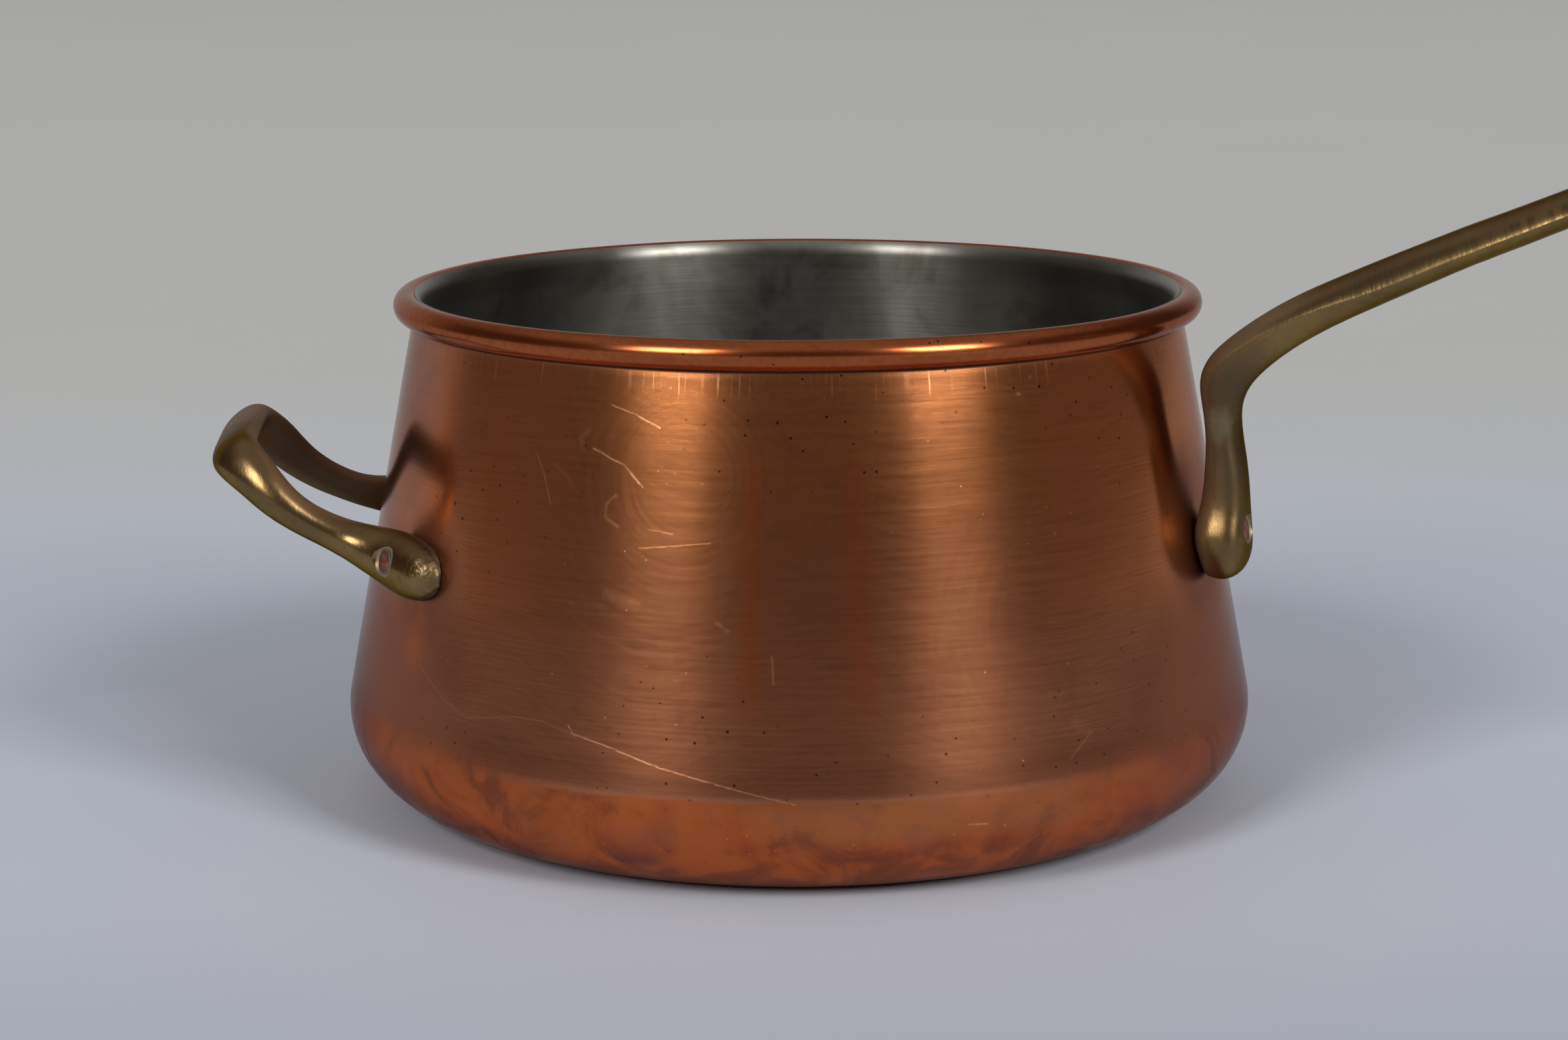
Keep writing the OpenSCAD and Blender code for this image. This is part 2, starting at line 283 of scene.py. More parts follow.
LH = np.array([
    [1.9, -9.0, 3.6, -10.2, 4, 0.5, 1, 0.4, 0.6],
    [1.6, -8.2, 7.2, -10.5, 8.6, 1.8, 0.9, 1.6, 2.0],
    [1.1, -6.2, 10.6, -8.5, 13.0, 3.8, 0.76, 3.4, 3.8],
    [0.2, -3.2, 12.1, -4.5, 16.4, 5.2, 0.66, 4.8, 5.0],
    [-0.8, 1.2, 12.1, 0.8, 17.6, 5.6, 0.64, 5.2, 5.6],
    [0.5, 7.2, 11.9, 6.8, 12.8, 5.2, 0.74, 4.8, 5.0],
    [1.3, 13.4, 11.4, 13.6, 12.4, 4.6, 0.78, 4.2, 4.6],
    [1.5, 19.6, 10.6, 20.0, 12.0, 4.2, 0.88, 3.8, 4.4],
    [1.5, 25.8, 9.6, 25.6, 12.0, 3.9, 0.95, 3.2, 4.0],
    [0.7, 31.8, 9.1, 30.4, 12.8, 4.2, 1, 3.0, 4.0],
    [-0.3, 37.2, 10.2, 35.1, 14.0, 4.9, 1.1, 3.2, 4.4],
    [1.0, 42.8, 14.1, 40.1, 15.2, 5.7, 1.2, 4.0, 5.4],
    [6.6, 48.5, 20.2, 45.2, 16.0, 6.3, 1.3, 5.2, 6.4],
    [14.3, 54.2, 27.2, 49.8, 16.6, 6.6, 1.4, 6.0, 7.0],
    [24.7, 60.4, 35.4, 54.2, 17.0, 6.6, 1.45, 6.2, 7.2],
    [40.4, 67.4, 44.9, 58.8, 17.4, 6.6, 1.5, 6.4, 7.4],
    [56.2, 74.6, 60.2, 66.3, 17.6, 6.3, 1.5, 6.1, 7.5],
    [71.7, 80.9, 75.5, 73.0, 17.8, 6.0, 1.5, 5.8, 7.6],
    [85.1, 86.5, 88.7, 78.9, 18.0, 5.7, 1.5, 5.5, 7.7],
    [100.0, 92.6, 103.4, 85.2, 18.2, 5.4, 1.5, 5.2, 7.8],
    [114.9, 98.8, 118.1, 91.3, 18.6, 5.1, 1.5, 4.9, 8.0],
    [129.9, 104.4, 132.9, 97.2, 19.2, 4.8, 1.5, 4.6, 8.2],
    [144.9, 109.8, 147.6, 102.9, 20.2, 4.4, 1.45, 4.1, 8.0],
    [158.9, 114.6, 161.4, 108.1, 22.0, 4.1, 1.4, 3.6, 7.0],
    [169.9, 118.2, 172.2, 112.0, 24.4, 3.8, 1.3, 3.0, 5.0],
    [177.9, 120.7, 180.0, 114.8, 25.4, 3.6, 1.2, 2.6, 4.2],
    [184.5, 122.8, 186.4, 117.2, 23.6, 3.4, 1.1, 2.4, 4.0],
    [189.1, 124.1, 190.6, 119.0, 18.4, 3.0, 1, 2.0, 3.4],
    [191.5, 124.4, 192.1, 120.3, 8.0, 2.2, 1, 1.4, 1.8],
])
hx = rw(HANDLE_Z)


def lh_ring(u):
    q = spl(LH, u)
    I, O = q[0:2], q[2:4]
    t = float(np.linalg.norm(O - I))
    d = (O - I) / t
    return np.array([(hx + I[0] + d[0] * y, x, HANDLE_Z + I[1] + d[1] * y)
                     for x, y in bar(q[4], t, q[5], q[6], q[7], q[8])])


hr = rw(HELPER_Z)


def boss_row(a, dz, t, w, th, h):
    r = rw(HELPER_Z + dz) + t
    return [r * math.cos(rad(a)), r * math.sin(rad(a)), dz, LEAN, a, w, th, h, 1, min(1, 0.8 * h), min(1, 0.8 * h)]


HH = [
    boss_row(RIVET_HALF + 7.8, -1.0, 0.7, 4, 1.6, 0.4),
    boss_row(RIVET_HALF + 7.2, -0.9, 1.4, 8.6, 3.6, 0.6),
    boss_row(RIVET_HALF + 5.7, -0.7, 2.5, 12.2, 6.0, 0.9),
    boss_row(RIVET_HALF + 3.1, -0.3, 3.4, 14.2, 7.8, 1.2),
    boss_row(RIVET_HALF, 0.1, 3.8, 14.8, 8.4, 1.5),
    boss_row(RIVET_HALF - 3.2, 1.2, 5.0, 13.8, 8.4, 1.9),
    [hr + 4.2, 36.4, 3.7, 14, 12, 9.6, 8.0, 2.2, 1, 1.6, 2.2],
    [hr + 9.8, 35.6, 6.2, 21, 6, 8.2, 7.4, 2.4, 1, 2.0, 2.8],
    [hr + 16.4, 35.2, 9.6, 30, 2, 8.2, 7.0, 2.4, 1, 2.2, 3.0],
    [hr + 22.4, 34.6, 14.0, 38, 0, 9.4, 6.9, 2.4, 1, 2.2, 3.2],
    [hr + 27.2, 31.8, 19.2, 45, 0, 11.0, 6.8, 2.4, 0.94, 2.2, 3.6],
    [hr + 32.2, 26.8, 23.4, 49, 0, 12.2, 6.7, 2.4, 0.9, 2.2, 4.0],
    [hr + 33.4, 20.2, 24.0, 51, 0, 12.6, 6.5, 2.4, 0.9, 2.2, 4.2],
    [hr + 33.4, 10.2, 24.1, 52, 0, 12.6, 6.4, 2.4, 0.9, 2.2, 4.2],
    [hr + 33.4, 0, 24.1, 52, 0, 12.6, 6.4, 2.4, 0.9, 2.2, 4.2],
]
SAG = [0, 0, 0, 0, 0, -0.6, -1.1, -1.5, -1.7, -1.5, -1.0, -0.5, -0.2, 0, 0]
SLIM = [1, 1, 1, 1, 0.96, 0.76, 0.84, 0.96, 1.04, 1.06, 1.04, 1, 1, 1, 1]


def flip(q, k):
    return [q[0], -q[1], q[2] + SAG[k], q[3], -q[4], q[5] * SLIM[k], q[6], q[7], q[8], q[9], q[10] * SLIM[k]]


HP = np.array(HH + [flip(HH[k], k) for k in range(len(HH) - 2, -1, -1)], float)


def unit(v):
    return v / np.linalg.norm(v)


def hh_ring(u):
    n = len(HP) - 1
    q, q0, q1 = spl(HP, u), spl(HP, max(u - 0.02, 0)), spl(HP, min(u + 0.02, n))
    t = unit(q1[0:3] - q0[0:3])
    s, a = rad(q[3]), rad(q[4])
    up = np.array([-math.sin(s) * math.cos(a), -math.sin(s) * math.sin(a), math.cos(s)])
    b = unit(up - np.dot(up, t) * t)
    o = np.cross(b, t)
    c = np.array([q[0], q[1], HELPER_Z + q[2]])
    ca, sa = math.cos(rad(HELPER_AZ)), math.sin(rad(HELPER_AZ))
    pts = np.array([c + b * x + o * (y - q[6] / 2) for x, y in bar(q[5], q[6], q[7], q[8], q[9], q[10])])
    return np.stack([pts[:, 0] * ca - pts[:, 1] * sa, pts[:, 0] * sa + pts[:, 1] * ca, pts[:, 2]], 1)


def cast(rings, amp):
    """The slight unevenness of a hand-filed casting."""
    out = []
    for i, r in enumerate(rings):
        c = r.mean(axis=0)
        q = []
        for p in r:
            d = p - c
            l = np.linalg.norm(d) + 1e-9
            e = amp * (nz(p[0], p[1], p[2], 0.09) + 0.5 * nz(p[0] + 31, p[1], p[2], 0.22)
                       + 0.22 * nz(p[0], p[1] + 17, p[2], 0.55) - 0.75)
            e = min(e, 0.35 * amp)
            if p[0] > 268 or p[0] < -118:
                e = min(e, 0.0)
            q.append(p + d / l * e)
        out.append(np.array(q))
    return out


def seat_solid(name):
    f = fil(0, 30)
    top = PAN_H + 30
    prof = [(0, 0)] + f + line(f[-1], (rw(top), top), 40) + [(rw(top), top), (0, top)]
    return lathe(name, prof, 720)


def sink_solid(name, az, z, t):
    """Rivet hole and countersink, its mouth eased."""
    r0, r1 = RIVET_D / 2, SINK_D / 2
    prof = [(0, -4), (r0, -4), (r0, t - SINK_H)]
    prof += [(r0 + (r1 - r0) * i / 4, t - SINK_H + SINK_H * i / 4) for i in range(1, 5)]
    prof += [(r1 + 0.12, t + 0.25), (r1 + 0.35, t + 0.6), (r1 + 0.5, t + 1.6), (r1 + 0.5, t + 6), (0, t + 6)]
    return lathe(name, prof, 72, matrix=on_wall(az, z))


eye_q = spl(LH, 25)
eye_d = unit(np.array([eye_q[2] - eye_q[0], 0, eye_q[3] - eye_q[1]]))
eye_c = np.array([hx + eye_q[0], 0, HANDLE_Z + eye_q[1]])
eye_t = float(np.linalg.norm(eye_q[2:4] - eye_q[0:2]))


def eye_solid():
    """The hanging eye, worn smooth at both mouths."""
    z_axis = Vector(eye_d)
    y_axis = Vector((0, 1, 0))
    x_axis = y_axis.cross(z_axis)
    M = Matrix((x_axis, y_axis, z_axis)).transposed().to_4x4()
    M.translation = Vector(eye_c)
    r = 5.5
    prof = [(0, -12), (r + 2.2, -12), (r + 2.2, -0.6)]
    prof += [(r + 0.9 * (1 - math.sin(rad(a))) + 0.05, -0.1 + 0.9 - 0.9 * math.cos(rad(a))) for a in (5, 20, 35, 50, 65, 80)]
    prof += [(r, 0.9), (r, eye_t - 1.1)]
    prof += [(r + 0.9 * (1 - math.cos(rad(a))), eye_t - 1.1 + 0.9 * math.sin(rad(a))) for a in (15, 30, 45, 60, 75)]
    prof += [(r + 0.95, eye_t - 0.2), (r + 1.6, eye_t + 1), (r + 1.6, 20), (0, 20)]
    return lathe("eye_cut", prof, 96, matrix=M)


n_u = len(LH) - 1
us = sorted(set([round(x, 5) for x in np.concatenate([np.linspace(0, 2, 26), np.linspace(2, 14, 110),
                                                      np.linspace(14, 24, 90), np.linspace(24, n_u, 60)])]))
long_handle = loft("handle_long", cast([lh_ring(u) for u in us], 0.09))
cut(long_handle, seat_solid("seat_a"), sink_solid("sink_a", 0, HANDLE_Z, LH_T), eye_solid())
smooth(long_handle, 34)

n_h = len(HP) - 1
half = np.concatenate([np.linspace(0, 2, 24), np.linspace(2, 7, 56), np.linspace(7, n_h / 2, 84)])
hs = sorted(set([round(x, 5) for x in np.concatenate([half, n_h - half])]))
helper = loft("handle_helper", cast([hh_ring(u) for u in hs], 0.07))
cut(helper, seat_solid("seat_b"), sink_solid("sink_b", HELPER_AZ + RIVET_HALF, HELPER_Z, HH_T),
    sink_solid("sink_c", HELPER_AZ - RIVET_HALF, HELPER_Z, HH_T))
smooth(helper, 34)

# ---------------------------------------------------------------------------
# Rivets: peened flush outside, domed inside
# ---------------------------------------------------------------------------


def rivet(name, az, z, t, seed):
    M = on_wall(az, z)
    r0, r1 = RIVET_D / 2, SINK_D / 2
    fs = (SINK_H - FILL_H) / SINK_H
    re = r0 + (r1 - r0) * fs - 0.02
    ze = t - FILL_H
    b = -WALL_T - LINING_T
    prof = [(0, b - 2.1)]
    prof += [(HEAD_D / 2 * math.sin(rad(a)), b - 0.35 - 1.75 * math.cos(rad(a))) for a in range(8, 90, 8)]
    prof += [(HEAD_D / 2, b - 0.3), (HEAD_D / 2 - 0.05, b + 0.1), (r0 - 0.02, b + 0.12), (r0 - 0.02, t - SINK_H)]
    prof += [(re - 0.1, ze - 0.16), (re, ze - 0.05), (re - 0.08, ze + 0.02), (re * 0.86, ze + 0.06), (re * 0.7, ze + 0.04),
             (re * 0.5, ze - 0.03), (re * 0.3, ze - 0.1), (re * 0.14, ze - 0.13), (0, ze - 0.14)]

    def beat(a, r, zz):
        x, y = r * math.cos(a), r * math.sin(a)
        e = noise.noise(Vector((x * 0.55 + seed, y * 0.55, zz * 0.2)))
        if zz > t - 1:
            return 0.0, 0.09 * e
        if zz < b - 0.1:
            return 0.05 * e, 0.08 * e
        return 0.0, 0.0
    # wobble first, then place
    o = lathe(name, prof, 64, beat)
    o.data.transform(Matrix.Diagonal((1000, 1000, 1000, 1)))
    o.data.transform(M)
    o.data.transform(Matrix.Diagonal((MM, MM, MM, 1)))
    smooth(o, 50)
    Mi = M.inverted()
    for f in o.data.polygons:
        f.material_index = 1 if (Mi @ (f.center / MM)).z < b + 0.05 else 0
    return o


riv_long = rivet("rivet_long", 0, HANDLE_Z, LH_T, 3.0)
riv_front = rivet("rivet_helper_front", HELPER_AZ + RIVET_HALF, HELPER_Z, HH_T, 11.0)
riv_rear = rivet("rivet_helper_rear", HELPER_AZ - RIVET_HALF, HELPER_Z, HH_T, 23.0)

# ---------------------------------------------------------------------------
# Material helper
# ---------------------------------------------------------------------------


class Tree:
    def __init__(self, name):
        self.mat = bpy.data.materials.new(name)
        self.mat.use_nodes = True
        self.nt = self.mat.node_tree
        self.nt.nodes.clear()
        self.out = self.nt.nodes.new("ShaderNodeOutputMaterial")
        self.bsdf = self.nt.nodes.new("ShaderNodeBsdfPrincipled")
        self.nt.links.new(self.bsdf.outputs[0], self.out.inputs[0])
        tc = self.nt.nodes.new("ShaderNodeTexCoord")
        self.p = self.vm("SCALE", tc.outputs["Object"], scale=1000.0)
        s = self.nt.nodes.new("ShaderNodeSeparateXYZ")
        self.put(s.inputs[0], self.p)
        self.x, self.y, self.z = s.outputs[0], s.outputs[1], s.outputs[2]

    def put(self, sock, v):
        if isinstance(v, bpy.types.NodeSocket):
            self.nt.links.new(v, sock)
        elif isinstance(v, (tuple, list)):
            d = sock.default_value
            sock.default_value = tuple(v) + ((1.0,) if len(d) == 4 and len(v) == 3 else ())
        else:
            sock.default_value = v

    def ma(self, op, a, b=None, c=None, clamp=False):
        n = self.nt.nodes.new("ShaderNodeMath")
        n.operation, n.use_clamp = op, clamp
        for i, v in enumerate((a, b, c)):
            if v is not None:
                self.put(n.inputs[i], v)
        return n.outputs[0]

    def add(self, a, b): return self.ma("ADD", a, b)
    def sub(self, a, b): return self.ma("SUBTRACT", a, b)
    def mul(self, a, b): return self.ma("MULTIPLY", a, b)
    def mx(self, a, b): return self.ma("MAXIMUM", a, b)
    def mn(self, a, b): return self.ma("MINIMUM", a, b)
    def inv(self, a): return self.ma("SUBTRACT", 1.0, a)

    def vm(self, op, a, b=None, scale=None):
        n = self.nt.nodes.new("ShaderNodeVectorMath")
        n.operation = op
        self.put(n.inputs[0], a)
        if b is not None:
            self.put(n.inputs[1], b)
        if scale is not None:
            self.put(n.inputs["Scale"], scale)
        return n.outputs["Value"] if op in ("LENGTH", "DOT_PRODUCT", "DISTANCE") else n.outputs["Vector"]

    def vec(self, x, y, z):
        n = self.nt.nodes.new("ShaderNodeCombineXYZ")
        for i, v in enumerate((x, y, z)):
            self.put(n.inputs[i], v)
        return n.outputs[0]

    def noise(self, v, scale=1.0, detail=2.0, rough=0.5, dist=0.0):
        n = self.nt.nodes.new("ShaderNodeTexNoise")
        self.put(n.inputs["Vector"], v)
        self.put(n.inputs["Scale"], scale)
        self.put(n.inputs["Detail"], detail)
        self.put(n.inputs["Roughness"], rough)
        self.put(n.inputs["Distortion"], dist)
        return n.outputs["Fac"]

    def voro(self, v, scale=1.0, feature="F1", rnd=1.0):
        n = self.nt.nodes.new("ShaderNodeTexVoronoi")
        n.feature = feature
        self.put(n.inputs["Vector"], v)
        self.put(n.inputs["Scale"], scale)
        self.put(n.inputs["Randomness"], rnd)
        return n

    def step(self, x, lo, hi, a=0.0, b=1.0):
        """Smooth step from a at lo to b at hi; lo may be above hi."""
        n = self.nt.nodes.new("ShaderNodeMapRange")
        n.interpolation_type = "SMOOTHSTEP"
        self.put(n.inputs["Value"], x)
        if lo > hi:
            lo, hi, a, b = hi, lo, b, a
        n.inputs["From Min"].default_value, n.inputs["From Max"].default_value = lo, hi
        n.inputs["To Min"].default_value, n.inputs["To Max"].default_value = a, b
        return n.outputs["Result"]

    def mix(self, f, a, b):
        n = self.nt.nodes.new("ShaderNodeMix")
        n.data_type = "RGBA"
        self.put(n.inputs["Factor"], f)
        self.put(n.inputs[6], a)
        self.put(n.inputs[7], b)
        return n.outputs[2]

    def lerp(self, f, a, b):
        n = self.nt.nodes.new("ShaderNodeMix")
        self.put(n.inputs["Factor"], f)
        self.put(n.inputs[2], a)
        self.put(n.inputs[3], b)
        return n.outputs[0]

    def bump(self, h, strength, dist, normal=None):
        n = self.nt.nodes.new("ShaderNodeBump")
        n.inputs["Strength"].default_value = strength
        n.inputs["Distance"].default_value = dist
        self.put(n.inputs["Height"], h)
        if normal is not None:
            self.put(n.inputs["Normal"], normal)
        return n.outputs[0]

    def tangent(self):
        n = self.nt.nodes.new("ShaderNodeTangent")
        n.direction_type, n.axis = "RADIAL", "Z"
        return n.outputs[0]

    def set(self, **kw):
        for k, v in kw.items():
            self.put(self.bsdf.inputs[k.replace("_", " ")], v)


# ---------------------------------------------------------------------------
# Copper
# ---------------------------------------------------------------------------


def copper_material():
    t = Tree("copper_aged")
    x, y, z = t.x, t.y, t.z
    # arc along the wall, in mm, from the side that faces the camera
    cf, sf = math.cos(rad(FACING)), math.sin(rad(FACING))
    s = t.mul(t.ma("ARCTAN2", t.sub(t.mul(y, cf), t.mul(x, sf)), t.add(t.mul(x, cf), t.mul(y, sf))), 105.0)
    side = t.ma("ABSOLUTE", s)
    sz = t.vec(s, z, 0.0)
    # brushing that runs round the pan, with slow arcs and two wiped swirls
    slow = t.mul(t.sub(t.noise(t.vec(t.mul(x, 0.016), t.mul(y, 0.016), t.mul(z, 0.005)), 1.0, 1.0), 0.5), 40.0)
    l1 = t.noise(t.vec(t.mul(x, 0.03), t.mul(y, 0.03), t.mul(z, 1.25)), 1.0, 3.0, 0.65)
    l2 = t.noise(t.vec(t.mul(x, 0.03), t.mul(y, 0.03), t.mul(t.add(z, slow), 0.75)), 1.0, 3.0, 0.65)
    lines = t.add(t.mul(l1, 0.6), t.mul(l2, 0.4))
    sw1 = t.vm("DISTANCE", sz, (-27.0, 96.0, 0.0))
    sw2 = t.vm("DISTANCE", sz, (63.0, 62.0, 0.0))
    m1 = t.mul(t.step(sw1, 7.0, 13.0), t.step(sw1, 36.0, 22.0))
    m2 = t.mul(t.step(sw2, 12.0, 18.0), t.step(sw2, 40.0, 28.0))
    k1 = t.noise(t.vec(t.mul(sw1, 1.2), t.mul(s, 0.03), t.mul(z, 0.03)), 1.0, 2.0, 0.6)
    k2 = t.noise(t.vec(t.mul(sw2, 1.2), t.mul(s, 0.03), t.mul(z, 0.03)), 1.0, 2.0, 0.6)
    lines = t.lerp(t.mul(m1, 0.42), lines, k1)
    lines = t.lerp(t.mul(t.mul(m2, t.step(s, 66.0, 44.0)), 0.28), lines, k2)
    cloud = t.noise(t.p, 0.018, 4.0, 0.6, 0.4)
    cloud2 = t.noise(t.vm("ADD", t.p, (40.0, 10.0, 90.0)), 0.05, 4.0, 0.65, 0.8)
    cloud3 = t.noise(t.vm("ADD", t.p, (91.0, 33.0, 7.0)), 0.035, 3.0, 0.6, 0.6)
    patch = t.noise(t.vm("ADD", t.p, (0.0, 70.0, 30.0)), 0.011, 2.0, 0.5)
    grain = t.noise(t.p, 0.6, 3.0, 0.6)
    col = t.mix(t.step(cloud, 0.35, 0.7), (0.78, 0.302, 0.113), (0.68, 0.257, 0.100))
    col = t.mix(t.step(z, 104.0, 44.0, 0.0, 0.55), col, (0.66, 0.268, 0.158))
    col = t.mix(t.mul(t.step(patch, 0.45, 0.7), 0.5), col, (0.60, 0.228, 0.125))
    col = t.mix(t.mul(t.step(cloud2, 0.50, 0.70), 0.32), col, (0.46, 0.165, 0.085))
    col = t.mix(t.mul(t.step(grain, 0.50, 0.68), 0.22), col, (0.50, 0.165, 0.072))
    soft = t.step(z, 96.0, 56.0, 1.0, 0.6)
    col = t.mix(t.mul(t.mul(t.step(lines, 0.48, 0.64), 0.24), soft), col, (0.90, 0.36, 0.15))
    col = t.mix(t.mul(t.mul(t.step(lines, 0.48, 0.34), 0.26), soft), col, (0.46, 0.165, 0.07))
    # mauve tint on the flanks, on the left more of it higher up
    mauve_tint = t.mul(t.step(s, -78.0, -104.0), t.step(s, -230.0, -165.0))
    col = t.mix(t.mul(mauve_tint, t.add(t.step(cloud2, 0.35, 0.65, 0.3, 0.55), t.step(z, 84.0, 104.0, 0.0, 0.35))), col, (0.42, 0.200, 0.165))
    mauve_tint = t.mul(t.step(s, 78.0, 112.0), t.step(s, 250.0, 170.0))
    col = t.mix(t.mul(mauve_tint, 0.4), col, (0.47, 0.19, 0.125))
    # painted reflection: the wall is lighter and warmer in bands beside the highlights, on both sides, in its upper
    # part
    painted_reflection = t.mul(t.step(side, 50.0, 68.0), t.mul(t.step(side, 120.0, 102.0), t.step(z, 50.0, 70.0)))
    col = t.mix(t.mul(painted_reflection, 0.55), col, (0.97, 0.325, 0.118))
    # painted shade: the flanks darken towards the foot, and a band just above the foot is darker still
    zz = t.add(z, t.mul(t.sub(cloud2, 0.5), 3.0))
    sink = t.add(t.add(side, t.mul(t.sub(cloud3, 0.5), 24.0)), t.mul(t.sub(55.0, z), 0.6))
    sink = t.mul(t.step(sink, 62.0, 98.0), t.step(z, 82.0, 48.0))
    col = t.mix(t.mul(sink, 0.82), col, (0.315, 0.106, 0.052))
    foot_band_shade = t.mul(t.step(side, 20.0, 60.0, 0.75, 1.0), t.step(zz, 39.0, 27.0))
    col = t.mix(t.mul(foot_band_shade, 0.46), col, (0.30, 0.100, 0.050))
    # faint redder streaks down the wall
    for c, w, g in ((-11.0, 4.2, 0.5), (13.0, 5.0, 0.45), (-103.0, 8.0, 0.34), (-80.0, 4.5, 0.2)):
        red = t.step(t.ma("ABSOLUTE", t.add(t.sub(s, c), t.mul(t.sub(cloud3, 0.5), 6.0))), w, 0.5)
        red = t.mul(red, t.mul(t.step(z, 38.0, 54.0), t.step(z, 112.0, 92.0)))
        col = t.mix(t.mul(red, g), col, (0.86, 0.215, 0.062))
    # foot: polished to a line, brighter, redder, stained by heat
    foot = t.lerp(t.step(side, 40.0, 90.0), t.step(zz, 26.5, 25.2), t.step(zz, 33.0, 23.0))
    fcol = t.mix(t.step(cloud2, 0.4, 0.66), (0.55, 0.140, 0.042), (0.39, 0.099, 0.034))
    fcol = t.mix(t.mul(t.step(cloud3, 0.5, 0.66), 0.6), fcol, (0.44, 0.076, 0.028))
    tan = t.mul(t.mul(t.step(s, -18.0, 8.0), t.step(s, 76.0, 52.0)), t.step(t.add(z, t.mul(cloud3, 6.0)), 17.0, 22.0))
    fcol = t.mix(t.mul(tan, 0.55), fcol, (0.47, 0.178, 0.070))
    haze = t.noise(t.vm("ADD", t.p, (3.0, 130.0, 55.0)), 0.045, 3.0, 0.6, 1.0)
    fcol = t.mix(t.mul(t.step(haze, 0.52, 0.70), 0.3), fcol, (0.28, 0.122, 0.095))
    fcol = t.mix(t.mul(t.step(s, 45.0, 115.0), t.step(s, 260.0, 180.0, 0.0, 0.5)), fcol, (0.28, 0.102, 0.072))
    stain = t.step(t.add(cloud2, t.mul(t.step(z, 20.0, 2.0), 0.14)), 0.53, 0.68)
    fcol = t.mix(t.mul(stain, 0.45), fcol, (0.18, 0.066, 0.042))
    burn = t.mul(t.step(t.add(cloud3, t.mul(cloud, 0.4)), 0.70, 0.84), t.step(z, 19.0, 5.0))
    fcol = t.mix(t.mul(burn, 0.8), fcol, (0.09, 0.06, 0.055))
    col = t.mix(foot, col, fcol)
    # roll and the dirt under it
    bead = t.step(z, 119.4, 120.4)
    bcol = t.mix(t.step(grain, 0.4, 0.7), (0.45, 0.122, 0.042), (0.37, 0.100, 0.035))
    bcol = t.mix(t.mul(t.step(cloud2, 0.55, 0.7), 0.4), bcol, (0.33, 0.094, 0.038))
    col = t.mix(bead, col, bcol)
    rr = t.ma("SQRT", t.add(t.mul(x, x), t.mul(y, y)))
    dc = t.vm("LENGTH", t.vec(t.sub(rr, 95.5), t.sub(z, 120.2), 0.0))
    dirt = t.add(t.mul(t.step(dc, 2.6, 0.8), 0.18), t.mul(t.step(dc, 1.25, 0.6), 0.82))
    col = t.mix(t.mul(dirt, 0.85), col, (0.05, 0.028, 0.02))
    # scratches, ticks under the roll and pale marks
    wz = t.vm("ADD", sz, t.vec(t.mul(t.sub(cloud2, 0.5), 1.6), t.mul(t.sub(grain, 0.5), 0.5), 0.0))

    def mark(pts, w, gain):
        d = None
        for a, b in zip(pts, pts[1:]):
            ab = (b[0] - a[0], b[1] - a[1], 0.0)
            pa = t.vm("SUBTRACT", wz, (a[0], a[1], 0.0))
            k = t.ma("MULTIPLY", t.vm("DOT_PRODUCT", pa, ab), 1.0 / (ab[0] ** 2 + ab[1] ** 2), clamp=True)
            e = t.vm("LENGTH", t.vm("SUBTRACT", pa, t.vm("SCALE", ab, scale=k)))
            d = e if d is None else t.mn(d, e)
        return t.mul(t.step(d, 0.8 * w, 0.1 * w), gain * 0.5)

    marks = None
    for pts, w, gain in (
            ([(-47, 111.5), (-40, 109.5), (-33.5, 107)], 0.45, 0.75),
            ([(-50.5, 101.5), (-42, 98.2), (-37, 93.8)], 0.5, 0.85),
            ([(-67.5, 99.5), (-64, 94), (-61.3, 88)], 0.45, 0.6),
            ([(-37, 80.4), (-20, 82.4)], 0.35, 0.6),
            ([(-35, 84.6), (-29, 84.0)], 0.4, 0.4),
            ([(-100, 46), (-88.5, 40), (-80, 37.3), (-65.5, 40), (-58.5, 40.1), (-50.4, 38.3)], 0.38, 0.4),
            ([(-51.2, 40), (-50, 38.2), (-43, 36.8), (-29.5, 32.8)], 0.45, 0.8),
            ([(-29.5, 32.8), (-17, 29.8), (-1, 25.8)], 0.4, 0.75),
            ([(61, 31), (67.3, 36)], 0.45, 0.5),
            ([(36, 19), (40, 18.8)], 0.45, 0.9),
            ([(-6, 58), (-5.4, 52)], 0.5, 0.55),
            ([(56.3, 112.8), (57, 112.6)], 0.9, 0.6),
            ([(60.4, 116), (61.2, 116.3)], 0.6, 0.5),
            ([(-44, 69.8), (-37, 68)], 2.6, 0.22),
            ([(63, 38.5), (66, 36)], 2.4, 0.2),
            ([(-52, 105.5), (-54.5, 103.5), (-53, 100.5)], 1.1, 0.28),
            ([(-61, 97), (-57, 94.5), (-55.5, 92.5)], 1.1, 0.22),
            ([(-43.5, 91.6), (-46, 89.5), (-46, 86.5), (-42.5, 84.8)], 0.8, 0.35),
            ([(-18, 65), (-15.7, 63.4)], 1.0, 0.35)):
        k = mark(pts, w, gain)
        marks = k if marks is None else t.mx(marks, k)
    marks = t.mul(marks, t.step(grain, 0.3, 0.55, 0.35, 1.0))
    tick = t.noise(t.vec(t.mul(s, 1.15), t.mul(z, 0.02), 3.0), 1.0, 1.0)
    low = t.noise(t.vec(t.mul(s, 0.3), 5.0, 0.0), 1.0, 1.0)
    tick = t.mul(t.step(tick, 0.58, 0.70), t.step(t.add(z, t.mul(low, 7.0)), 116.5, 121.0))
    tick = t.mul(t.mul(tick, t.step(z, 119.6, 119.0)), t.step(low, 0.45, 0.6, 0.15, 0.75))
    marks = t.mx(marks, t.mul(tick, 0.45))
